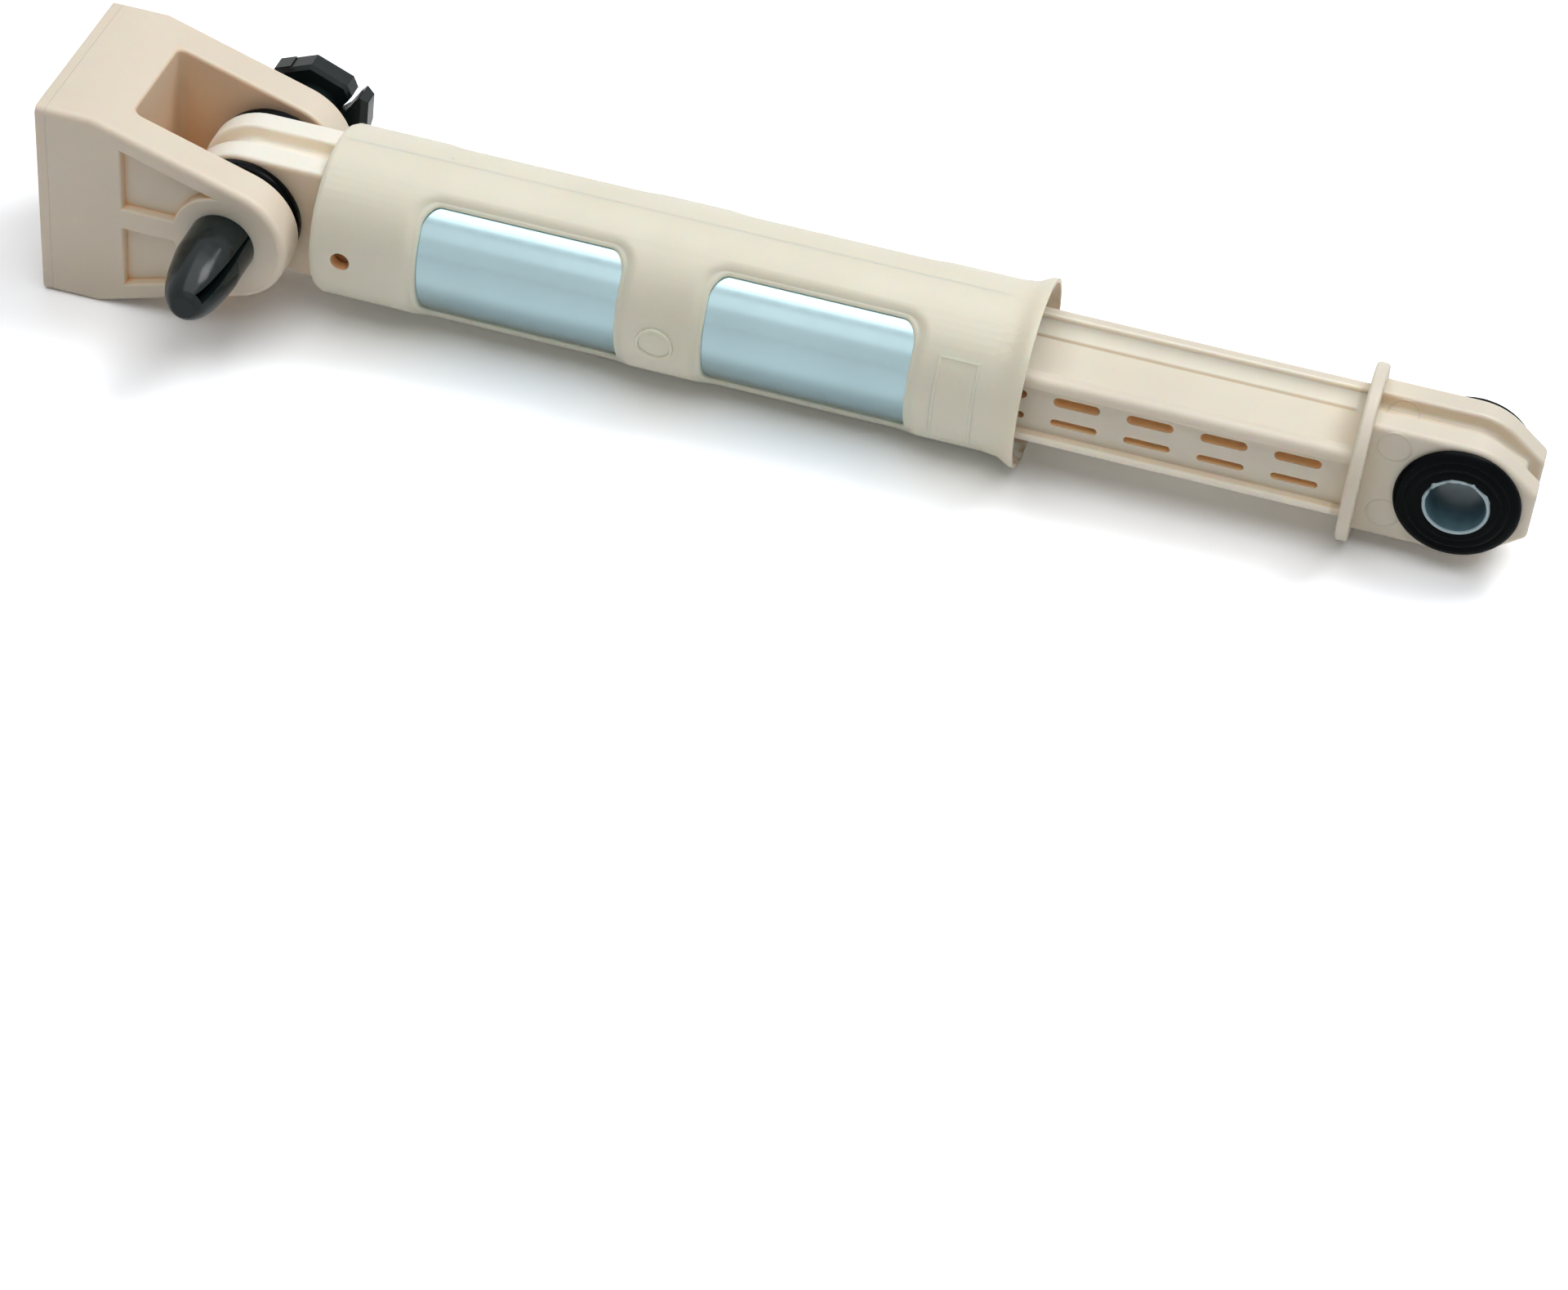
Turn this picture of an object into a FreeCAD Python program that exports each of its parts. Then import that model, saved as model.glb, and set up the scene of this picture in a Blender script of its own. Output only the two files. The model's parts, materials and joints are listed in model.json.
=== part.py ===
import FreeCAD, Part
import math
import os

# Frame: origin at the middle of the bracket's mounting face, +X along the damper to the rod eye,
# Y along both eyes, +Z up. Sizes in millimetres.

# Driving sizes: foot bracket
base_to_pin = 36.0
bracket_half_height = 20.75
bracket_half_width = 18.8
bracket_flat = 11.0
bracket_nose_r = 12.2
slot_half_width = 11.0
base_thickness = 16.0
pocket_depth = 2.0
pocket_rim = 3.7
pocket_rib = 4.5
pocket_start = 16.4
pocket_round = 0.5
boss_r = 9.8
bracket_round = 1.4
slot_corner_r = 1.6
slot_rim_round = 0.8

# Driving sizes: pivot pin
pin_r = 6.3
pin_nose_out = 20.6
pin_nose_length = 14.3
nose_taper = 1.46
nose_bluntness = 0.284
nose_lean = 0.7
pin_standoff = 7.8
pin_collar_r = 8.4
pin_collar_thick = 2.0
head_across_flats = 19.0
head_thick = 4.9
head_chamfer = 0.7
head_pad_lift = 0.25
finger_reach = 12.4
finger_height = 7.8
finger_thick = 4.5
finger_gap = 0.5
slit_start_width = 0.3
slit_end_width = 2.1
slit_angle = 30.0

# Driving sizes: barrel
barrel_r = 16.0
barrel_start = 15.4
barrel_length = 134.8
end_wall = 2.6
jacket_wall = 1.6
tube_wall = 0.8
tube_start = 10.6
guide_length = 4.0
flare_length = 5.0
flare_out = 1.7
flare_wall = 0.8
window_start = 20.6
window_to_mouth = 21.1
window_gap = 16.5
window_to_side = 4.0
window_corner_r = 3.0
window_round = 0.8
vent_r = 1.85
vent_at = 6.5

# Driving sizes: eyes and bushes
eye_half_thick = 7.6
eye_r = 12.1
eye_flat_out = 13.3
eye_flat_half = 4.8
eye_toe_round = 1.3
eye_edge_round = 1.2
eye_groove_half = 2.4
eye_groove_wall = 1.4
eye_groove_round = 0.8
bush_wall = 0.9
bush_flange_r = 11.4
bush_half_length = 9.4
bush_round = 0.7
sleeve_half_length = 9.5
sleeve_wall = 0.75
rod_sleeve_bore_r = 5.4

# Driving sizes: rod and piston
rod_eye_from_pin = 228.8
rod_half_height = 7.5
rod_corner_r = 1.8
rail_width = 3.2
rail_round = 0.6
rail_foot_round = 0.5
lip_round = 0.4
web_half_height = 4.1
side_recess = 1.7
lip_height = 2.3
slot_length = 8.6
slot_pitch = 13.5
upper_slot_height = 2.0
lower_slot_height = 1.5
slot_row = 2.35
slot_count = 6
slot_to_disc = 4.9
disc_over_barrel = 0.4
disc_thick = 2.4
disc_round = 0.6
disc_to_eye = 19.6
piston_to_pin = 83.0
piston_length = 33.0
collar_width = 3.0
lining_thick = 2.9

# Fits, all radial or per side
running = 0.05
seat = 0.01
piston_play = 0.1
guide_play = 0.2
side_play = 0.2
foot_bush_play = 0.6
rod_play = 0.64

# Positions that follow from the driving sizes
pin_x = base_to_pin
barrel_x = pin_x + barrel_start
mouth_x = barrel_x + barrel_length
tube_x = barrel_x + tube_start
tube_outer_r = barrel_r - jacket_wall
tube_inner_r = tube_outer_r - tube_wall
flare_rim_r = barrel_r + flare_out
window_half_height = barrel_r - window_to_side
window_length = (barrel_length - window_start - window_gap - window_to_mouth) / 2
guide_end_x = mouth_x - flare_length
guide_x = guide_end_x - guide_length
jacket_bore_r = tube_outer_r + seat
rod_eye_x = pin_x + rod_eye_from_pin
disc_x = rod_eye_x - disc_to_eye
disc_r = barrel_r + disc_over_barrel
piston_x = pin_x + piston_to_pin
piston_end_x = piston_x + piston_length
piston_core_r = tube_inner_r - lining_thick - 2 * running
rod_corner_reach = tube_inner_r - rod_play
rod_half_width = rod_corner_r + math.sqrt((rod_corner_reach - rod_corner_r) ** 2
                                          - (rod_half_height - rod_corner_r) ** 2)
head_inner_y = bracket_half_width + pin_standoff
eye_bore_r = pin_r + running + sleeve_wall + bush_wall
eye_groove_depth = eye_r - eye_bore_r - eye_groove_wall
foot_bush_half_length = slot_half_width - foot_bush_play

X = FreeCAD.Vector(1, 0, 0)
Y = FreeCAD.Vector(0, 1, 0)
Z = FreeCAD.Vector(0, 0, 1)


def vec(x, y, z):
    return FreeCAD.Vector(x, y, z)


def cyl_x(radius, x0, x1):
    return Part.makeCylinder(radius, x1 - x0, vec(x0, 0, 0), X)


def cyl_y(radius, y0, y1, x=0.0, z=0.0):
    return Part.makeCylinder(radius, y1 - y0, vec(x, y0, z), Y)


def prism_y(points, y0, y1):
    """Solid with an outline given as (x, z) points, from y0 to y1."""
    corners = [vec(x, y0, z) for x, z in points]
    face = Part.Face(Part.makePolygon(corners + corners[:1]))
    return face.extrude(vec(0, y1 - y0, 0))


def prism_x(points, x0, x1):
    """Solid with an outline given as (y, z) points, from x0 to x1."""
    corners = [vec(x0, y, z) for y, z in points]
    face = Part.Face(Part.makePolygon(corners + corners[:1]))
    return face.extrude(vec(x1 - x0, 0, 0))


def box(x0, x1, y0, y1, z0, z1):
    return Part.makeBox(x1 - x0, y1 - y0, z1 - z0, vec(x0, y0, z0))


def edges_where(shape, test):
    return [edge for edge in shape.Edges if test(edge)]


def spun_x(points):
    """Solid of revolution about the X axis from (x, r) points."""
    corners = [vec(x, 0, r) for x, r in points]
    face = Part.Face(Part.makePolygon(corners + corners[:1]))
    return face.revolve(vec(0, 0, 0), X, 360)


def both_sides(shape):
    """The shape and its mirror image across the middle plane."""
    return [shape, shape.mirror(vec(0, 0, 0), Y)]


# Foot bracket

def nose_angle(radius):
    """Polar angle, seen from the pin, where the sloped flank meets the round nose."""
    back = base_to_pin - bracket_flat
    reach = math.hypot(back, bracket_half_height)
    return math.atan2(bracket_half_height, -back) - math.acos(radius / reach)


def bracket_outline():
    angle = nose_angle(bracket_nose_r)
    nose_x = bracket_nose_r * math.cos(angle) + pin_x
    nose_z = bracket_nose_r * math.sin(angle)
    y = -bracket_half_width
    top_left = vec(0, y, bracket_half_height)
    bend = vec(bracket_flat, y, bracket_half_height)
    tangent = vec(nose_x, y, nose_z)
    tip = vec(pin_x + bracket_nose_r, y, 0)
    low_tangent = vec(nose_x, y, -nose_z)
    low_bend = vec(bracket_flat, y, -bracket_half_height)
    low_left = vec(0, y, -bracket_half_height)
    edges = [
        Part.makeLine(low_left, top_left),
        Part.makeLine(top_left, bend),
        Part.makeLine(bend, tangent),
        Part.Arc(tangent, tip, low_tangent).toShape(),
        Part.makeLine(low_tangent, low_bend),
        Part.makeLine(low_bend, low_left),
    ]
    return Part.Face(Part.Wire(edges))


def bracket_pocket(sign):
    """Moulded pocket in the outer face at -Y, above the rib for sign 1 and below it for sign -1."""
    angle = nose_angle(bracket_nose_r)
    normal_x = math.cos(angle)
    normal_z = math.sin(angle)
    reach = bracket_nose_r - pocket_rim

    def flank(x):
        return (reach - (x - pin_x) * normal_x) / normal_z

    rib = pocket_rib / 2
    x0 = pocket_start
    x1 = pin_x
    points = [(x0, sign * rib), (x1, sign * rib), (x1, sign * flank(x1)), (x0, sign * flank(x0))]
    pocket = prism_y(points, -bracket_half_width - 1, -bracket_half_width + pocket_depth)
    keep = cyl_y(boss_r, -bracket_half_width - 2, -bracket_half_width + pocket_depth + 1, pin_x)
    return pocket.cut(keep)


def bracket_slot():
    """Opening between the two arms, with its inner corners rounded."""
    slot = box(base_thickness, pin_x + 2 * bracket_nose_r, -slot_half_width, slot_half_width,
               -2 * bracket_half_height, 2 * bracket_half_height)

    def inner_corner(edge):
        return edge.BoundBox.XMax < base_thickness + 1e-4 and edge.BoundBox.ZLength > bracket_half_height

    return slot.makeFillet(slot_corner_r, edges_where(slot, inner_corner))


def on_plane(edge, y):
    """True for an edge that lies on one of the two planes at a distance y from the middle."""
    return edge.BoundBox.YLength < 1e-4 and abs(abs(edge.CenterOfMass.y) - y) < 1e-4


def foot_bracket():
    outer = bracket_half_width
    block = bracket_outline().extrude(vec(0, 2 * outer, 0))
    rim = edges_where(block, lambda edge: on_plane(edge, outer) and edge.BoundBox.XLength > 1e-3)
    block = block.makeFillet(bracket_round, rim).cut(bracket_slot())
    slot_rim = edges_where(block, lambda edge: on_plane(edge, slot_half_width) and edge.BoundBox.XLength > 1e-3)
    block = block.makeFillet(slot_rim_round, slot_rim)
    for sign in (1, -1):
        for pocket in both_sides(bracket_pocket(sign)):
            block = block.cut(pocket)

    def pocket_edge(edge):
        inside = edge.BoundBox.XMin > pocket_start - 1e-3 and edge.BoundBox.XMax < pin_x + 1e-3
        return inside and on_plane(edge, outer)

    block = block.makeFillet(pocket_round, edges_where(block, pocket_edge))
    bore = cyl_y(pin_r + seat, -2 * outer, 2 * outer, pin_x)
    return block.cut(bore).removeSplitter()


# Pivot pin

def pin_nose():
    """Bullet nose drawn through circles that shrink and lean towards the slit."""
    start = -bracket_half_width - pin_nose_out + pin_nose_length
    lean_x = nose_lean * math.cos(math.radians(slit_angle))
    rings = []
    for share in (0.0, 0.2, 0.4, 0.6, 0.75, 0.87, 0.95, 0.985):
        radius = pin_r * (1 - share ** nose_taper) ** nose_bluntness
        center = vec(pin_x + lean_x * share, start - pin_nose_length * share, 0)
        rings.append(Part.Wire(Part.makeCircle(radius, center, Y)))
    return Part.makeLoft(rings, True)


def nose_slit():
    """Slit through the nose that opens from the bracket towards the tip."""
    base = -bracket_half_width + 3
    end = -bracket_half_width - pin_nose_out + 1.3
    narrow = slit_start_width / 2
    wide = slit_end_width / 2
    x = pin_x - 2 * pin_r
    corners = [vec(x, base, -narrow), vec(x, base, narrow), vec(x, end, wide), vec(x, end, -wide)]
    face = Part.Face(Part.makePolygon(corners + corners[:1]))
    slit = face.extrude(vec(4 * pin_r, 0, 0))
    slit.rotate(vec(pin_x, 0, 0), Y, -slit_angle)
    return slit


def octagon(across_flats, y0, y1):
    reach = across_flats / 2 / math.cos(math.pi / 8)
    points = []
    for corner in range(8):
        angle = math.pi / 4 * corner
        points.append((pin_x + reach * math.cos(angle), reach * math.sin(angle)))
    return prism_y(points, y0, y1)


def pin_head():
    """Eight-sided grip with a raised pad on one side and a corner left out beside the finger."""
    y0 = head_inner_y
    y1 = y0 + head_thick
    head = octagon(head_across_flats, y0, y1)
    head = head.makeChamfer(head_chamfer, edges_where(head, lambda edge: edge.BoundBox.YLength < 1e-4))
    pad = octagon(head_across_flats + 2 * head_pad_lift, y0 + head_chamfer, y1 - head_chamfer)
    half = head_across_flats / 2
    head = head.fuse(pad.common(box(pin_x - 2 * half, pin_x - 0.45 * half, y0, y1, 0, 2 * half)))
    foot = 0.5 * half
    points = [(foot, 0.03 * half), (0.95 * half, 0.65 * half), (2 * half, 0.8 * half),
              (2 * half, -0.35 * half), (foot, -0.35 * half)]
    return head.cut(prism_y([(pin_x + x, z) for x, z in points], y0 - 1, y1 + 1))


def latch_finger():
    """Spring finger that rises beside the head and hooks round the bracket's nose."""
    half = head_across_flats / 2
    reach = finger_reach
    top = finger_height
    gap = finger_gap
    points = [(0.45 * half, -0.7 * half), (0.86 * reach, -0.65 * half), (0.98 * reach, 0.05 * half),
              (reach, 0.8 * top), (0.89 * reach, top), (0.95 * half + 2 * gap, 0.65 * half + gap),
              (0.72 * half + 2 * gap, 0.3 * half + gap), (0.5 * half + 2 * gap, 0.1 * half + gap),
              (0.5 * half + gap, -0.35 * half), (0.45 * half, -0.38 * half)]
    y0 = head_inner_y + 1.6 - finger_thick
    finger = prism_y([(pin_x + x, z) for x, z in points], y0, y0 + finger_thick)

    def front_corner(edge):
        bound = edge.BoundBox
        return bound.YMax < y0 + 1e-4 and bound.XMin > pin_x + 0.95 * reach

    return finger.makeChamfer(1.2, edges_where(finger, front_corner))


def pivot_pin():
    outer = bracket_half_width
    start = -outer - pin_nose_out + pin_nose_length
    pin = cyl_y(pin_r, start, head_inner_y + 1, pin_x).fuse(pin_nose())
    collar_y = outer + side_play
    pin = pin.fuse(cyl_y(pin_collar_r, collar_y, collar_y + pin_collar_thick, pin_x))
    pin = pin.fuse(pin_head()).fuse(latch_finger())
    return pin.cut(nose_slit()).removeSplitter()


# Eyes and their bushes

def eye_toe(center_x, side, shrink, y0, y1):
    """Squared end that stands out from a round eye."""
    radius = eye_r - shrink
    flat = eye_flat_out - shrink
    half = eye_flat_half
    angle = math.atan2(half, flat) + math.acos(radius / math.hypot(flat, half))
    tangent = (radius * math.cos(angle), radius * math.sin(angle))
    points = [(0, 0), tangent, (flat, half), (flat, -half), (tangent[0], -tangent[1])]
    toe = prism_y([(center_x + side * x, z) for x, z in points], y0, y1)

    def toe_corner(edge):
        at_flat = abs(edge.CenterOfMass.x - center_x - side * flat) < 1e-3
        return at_flat and edge.BoundBox.ZLength < 1e-4

    return toe.makeFillet(eye_toe_round, edges_where(toe, toe_corner))


def eye_plate(center_x, neck_x, squared, shrink, y0, y1):
    """Round eye, squared at its end where wanted, joined to a neck that runs to neck_x."""
    radius = eye_r - shrink
    plate = cyl_y(radius, y0, y1, center_x)
    plate = plate.fuse(box(min(center_x, neck_x), max(center_x, neck_x), y0, y1, -radius, radius))
    if squared:
        side = math.copysign(1, center_x - neck_x)
        plate = plate.fuse(eye_toe(center_x, side, shrink, y0, y1))
    return plate.removeSplitter()


def neck_edges(shape, y, z):
    """Straight edges along the neck at a given distance from the middle planes."""
    def along_neck(edge):
        bound = edge.BoundBox
        straight = bound.YLength < 1e-4 and bound.ZLength < 1e-4
        return straight and abs(abs(bound.Center.y) - y) < 1e-3 and abs(abs(bound.Center.z) - z) < 1e-3

    return edges_where(shape, along_neck)


def eye_body(center_x, neck_x, squared):
    """Eye with a groove round its edge, so that two rounded rails are left."""
    thick = eye_half_thick
    groove = eye_groove_half
    body = eye_plate(center_x, neck_x, squared, eye_groove_depth, -thick, thick)
    for y0, y1 in ((-thick, -groove), (groove, thick)):
        rail = eye_plate(center_x, neck_x, squared, 0.0, y0, y1)
        body = body.fuse(rail)
    body = body.removeSplitter()
    corners = [(thick, eye_r, eye_edge_round), (groove, eye_r, eye_groove_round),
               (groove, eye_r - eye_groove_depth, eye_groove_round)]
    for y, z, radius in corners:
        body = body.makeFillet(radius, neck_edges(body, y, z))
    return body


def eye_bore(center_x):
    return cyl_y(eye_bore_r, -2 * eye_half_thick, 2 * eye_half_thick, center_x)


def sleeve(center_x, bore_r):
    length = sleeve_half_length
    outside = cyl_y(bore_r + sleeve_wall, -length, length, center_x)
    return outside.cut(cyl_y(bore_r, -length - 1, length + 1, center_x))


def bush(center_x, bore_r, half_length):
    """Rubber bush with a flange on each face of the eye."""
    body = cyl_y(eye_bore_r - seat, -half_length, half_length, center_x)
    face = eye_half_thick + seat
    flange = cyl_y(bush_flange_r, -half_length, -face, center_x)

    def outer_rim(edge):
        return edge.BoundBox.YMax < -half_length + 1e-4

    flange = flange.makeFillet(bush_round, edges_where(flange, outer_rim))
    for piece in both_sides(flange):
        body = body.fuse(piece)
    hole_r = bore_r + sleeve_wall + seat
    body = body.cut(cyl_y(hole_r, -2 * half_length, 2 * half_length, center_x))
    return body.removeSplitter()


# Barrel

def window_cutter(x0):
    """Straight opening through the side at -Y, with rounded corners."""
    half = window_half_height
    cutter = box(x0, x0 + window_length, -2 * barrel_r, -1.0, -half, half)

    def corner(edge):
        return edge.BoundBox.YLength > barrel_r

    return cutter.makeFillet(window_corner_r, edges_where(cutter, corner))


def window_starts():
    first = barrel_x + window_start
    return [first, first + window_length + window_gap]


def jacket_shell():
    """Cup with a flared mouth; its bore steps down beyond the end of the tube."""
    bore = jacket_bore_r
    inner = tube_inner_r
    flare_x = guide_end_x
    flare = [(flare_x - 1.5, barrel_r), (flare_x + 1.5, barrel_r + 0.35),
             (mouth_x - 1.0, flare_rim_r - 0.1), (mouth_x, flare_rim_r)]
    inside = [(x, r - flare_wall) for x, r in reversed(flare[1:])]
    points = [(barrel_x, 0), (barrel_x, barrel_r - 1.5), (barrel_x + 0.45, barrel_r - 0.45),
              (barrel_x + 1.5, barrel_r)] + flare + inside
    points += [(flare_x, barrel_r - flare_wall), (flare_x, bore), (tube_x, bore), (tube_x, inner),
               (barrel_x + end_wall, inner), (barrel_x + end_wall, 0)]
    return spun_x(points)


def jacket():
    shell = jacket_shell()
    for x0 in window_starts():
        for cutter in both_sides(window_cutter(x0)):
            shell = shell.cut(cutter)
    starts = window_starts()
    low = starts[0] - 0.5
    high = starts[1] + window_length + 0.5

    def window_rim(edge):
        bound = edge.BoundBox
        inside = bound.XMin > low and bound.XMax < high
        reach = max(math.hypot(v.Point.y, v.Point.z) for v in edge.Vertexes)
        near = min(math.hypot(v.Point.y, v.Point.z) for v in edge.Vertexes)
        return inside and near > barrel_r - 1e-3 and reach < barrel_r + 1e-3

    shell = shell.makeFillet(window_round, edges_where(shell, window_rim))
    eye = eye_body(pin_x, barrel_x + 1.0, False)
    shell = shell.fuse(eye).cut(eye_bore(pin_x))
    vent = cyl_y(vent_r, -2 * barrel_r, -1.0, barrel_x + vent_at)
    return shell.cut(vent).removeSplitter()


def steel_tube():
    tube = cyl_x(tube_outer_r, tube_x + seat, guide_x - seat)
    return tube.cut(cyl_x(tube_inner_r, tube_x - 1, guide_x + 1))


def guide_ring():
    """Split ring at the end of the tube that guides the rod and stops the piston."""
    inner = rod_corner_reach + guide_play
    ring = cyl_x(tube_outer_r, guide_x + seat, guide_end_x)
    ring = ring.cut(cyl_x(inner, guide_x - 1, guide_end_x + 1))
    split = box(guide_x - 1, guide_end_x + 1, -0.75, 0.75, -2 * barrel_r, -inner + 1)
    return ring.cut(split)


# Rod with piston, disc and eye

def rod_section():
    """Outline of the bar: a thick web between two walls, each wall with a lip at top and bottom."""
    w = rod_half_width
    h = rod_half_height
    inner = w - rail_width
    web = web_half_height
    lip = h - lip_height
    wall = w - side_recess
    quarter = [(0, web), (inner, web), (inner, h), (w, h), (w, lip), (wall, lip)]
    right = quarter + [(y, -z) for y, z in reversed(quarter)]
    left = [(-y, z) for y, z in reversed(right)]
    outline = [p for i, p in enumerate(right + left) if p not in (right + left)[:i]]
    return outline


def rod_bar(x0, x1):
    bar = prism_x(rod_section(), x0, x1)
    w = rod_half_width
    h = rod_half_height
    inner = w - rail_width
    rounds = [(w, h, rod_corner_r), (inner, h, rail_round), (inner, web_half_height, rail_foot_round),
              (w, h - lip_height, lip_round)]
    for y, z, radius in rounds:

        def at_corner(edge):
            bound = edge.BoundBox
            along = bound.YLength < 1e-4 and bound.ZLength < 1e-4
            return along and abs(abs(bound.Center.y) - y) < 1e-3 and abs(abs(bound.Center.z) - z) < 1e-3

        bar = bar.makeFillet(radius, edges_where(bar, at_corner))
    return bar


def rod_slot(x0, z, height):
    """Round-ended slot across the bar."""
    half = height / 2
    across = 2 * rod_half_width
    middle = box(x0 + half, x0 + slot_length - half, -across, across, z - half, z + half)
    for x in (x0 + half, x0 + slot_length - half):
        middle = middle.fuse(cyl_y(half, -across, across, x, z))
    return middle.removeSplitter()


def piston():
    """Round head with a collar at each end and a groove for the friction lining."""
    outer = tube_inner_r - piston_play
    head = cyl_x(piston_core_r, piston_x, piston_end_x)
    for x0 in (piston_x, piston_end_x - collar_width):
        head = head.fuse(cyl_x(outer, x0, x0 + collar_width))
    return head


def plunger_rod():
    disc = cyl_x(disc_r, disc_x, disc_x + disc_thick)

    def rims(edge):
        return edge.BoundBox.XLength < 1e-4

    disc = disc.makeFillet(disc_round, edges_where(disc, rims))
    rod = rod_bar(piston_end_x - 1, disc_x + 1)
    last = disc_x - slot_to_disc - slot_length
    for row, height in ((slot_row, upper_slot_height), (-slot_row, lower_slot_height)):
        for number in range(slot_count):
            rod = rod.cut(rod_slot(last - number * slot_pitch, row, height))
    rod = rod.fuse(piston()).fuse(disc)
    rod = rod.fuse(eye_body(rod_eye_x, disc_x + disc_thick - 1, True))
    return rod.cut(eye_bore(rod_eye_x)).removeSplitter()


def friction_lining():
    x0 = piston_x + collar_width + side_play
    x1 = piston_end_x - collar_width - side_play
    lining = cyl_x(tube_inner_r - running, x0, x1)
    return lining.cut(cyl_x(piston_core_r + running, x0 - 1, x1 + 1))


pieces = {
    "foot_bracket": foot_bracket(),
    "pivot_pin": pivot_pin(),
    "foot_bush": bush(pin_x, pin_r + running, foot_bush_half_length),
    "foot_sleeve": sleeve(pin_x, pin_r + running),
    "jacket": jacket(),
    "steel_tube": steel_tube(),
    "guide_ring": guide_ring(),
    "friction_lining": friction_lining(),
    "plunger_rod": plunger_rod(),
    "rod_bush": bush(rod_eye_x, rod_sleeve_bore_r, bush_half_length),
    "rod_sleeve": sleeve(rod_eye_x, rod_sleeve_bore_r),
}

os.makedirs("parts", exist_ok=True)
for name, shape in pieces.items():
    shape.exportStep("parts/" + name + ".step")
    bound = shape.BoundBox
    print(name, shape.ShapeType, len(shape.Solids), "solids", shape.isValid(),
          "x %.1f..%.1f y %.1f..%.1f z %.1f..%.1f" % (bound.XMin, bound.XMax, bound.YMin, bound.YMax,
                                                      bound.ZMin, bound.ZMax))
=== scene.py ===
# %% [markdown]
# A washing machine shock absorber lies on a pale table. The imported CAD model is the fixed frame, in
# metres: each node already sits where it belongs. This lesson gives the frame its looks. First the
# frame is loaded.

# %% Load the frame
import bpy
import bmesh
import json
import math
from mathutils import Matrix, Vector
from mathutils.noise import noise as noise_of


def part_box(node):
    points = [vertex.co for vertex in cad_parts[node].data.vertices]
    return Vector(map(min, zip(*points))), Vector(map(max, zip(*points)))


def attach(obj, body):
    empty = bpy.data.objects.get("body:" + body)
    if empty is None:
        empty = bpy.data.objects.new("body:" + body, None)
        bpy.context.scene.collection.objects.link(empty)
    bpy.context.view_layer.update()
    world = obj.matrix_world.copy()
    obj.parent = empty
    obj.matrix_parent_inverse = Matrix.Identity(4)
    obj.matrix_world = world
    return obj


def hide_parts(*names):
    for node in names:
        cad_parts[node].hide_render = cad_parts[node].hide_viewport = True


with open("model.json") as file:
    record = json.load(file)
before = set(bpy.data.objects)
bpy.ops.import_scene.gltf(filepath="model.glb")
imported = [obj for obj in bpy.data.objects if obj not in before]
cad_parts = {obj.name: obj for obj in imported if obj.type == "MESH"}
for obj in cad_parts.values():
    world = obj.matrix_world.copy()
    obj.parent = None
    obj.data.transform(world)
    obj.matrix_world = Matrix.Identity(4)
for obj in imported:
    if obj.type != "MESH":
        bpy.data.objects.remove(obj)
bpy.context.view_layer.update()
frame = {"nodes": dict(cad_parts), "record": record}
scene = bpy.context.scene
MM = 0.001
print("nodes", sorted(frame["nodes"]))

# %% [markdown]
# The camera comes early, because every later choice is judged through it. Its place, turn and focal
# length were worked out from the photograph: the two ends of the damper differ in scale by a twentieth,
# so the camera stands about three quarters of a metre away with a short telephoto lens.

# %% Camera
def aim_camera(eye, azimuth, elevation, roll, lens):
    a, e, r = (math.radians(v) for v in (azimuth, elevation, roll))
    back = Vector((math.sin(a) * math.cos(e), -math.cos(a) * math.cos(e), math.sin(e)))
    flat_right = Vector((math.cos(a), math.sin(a), 0.0))
    flat_up = back.cross(flat_right)
    right = flat_right * math.cos(r) + flat_up * math.sin(r)
    up = back.cross(right)
    data = bpy.data.cameras.new("camera")
    data.sensor_fit = "HORIZONTAL"
    data.sensor_width = 36.0
    data.lens = lens
    data.clip_start = 0.01
    camera = bpy.data.objects.new("camera", data)
    scene.collection.objects.link(camera)
    camera.matrix_world = Matrix((
        (right.x, up.x, back.x, eye[0]),
        (right.y, up.y, back.y, eye[1]),
        (right.z, up.z, back.z, eye[2]),
        (0, 0, 0, 1)))
    scene.camera = camera
    return camera


camera = aim_camera(eye=(0.26655, -0.57999, 0.45738), azimuth=11.84, elevation=42.22, roll=6.14, lens=93.72)
print("camera lens", round(camera.data.lens, 1))

# %% [markdown]
# Every finish is a net of shader nodes. It could be clicked together by hand in the shader editor, but a
# script can be read and run again. Adding and linking node by node takes many lines, so a small kit does
# it: one method adds a node of any kind and fills its sockets, and the others do sums.

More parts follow.
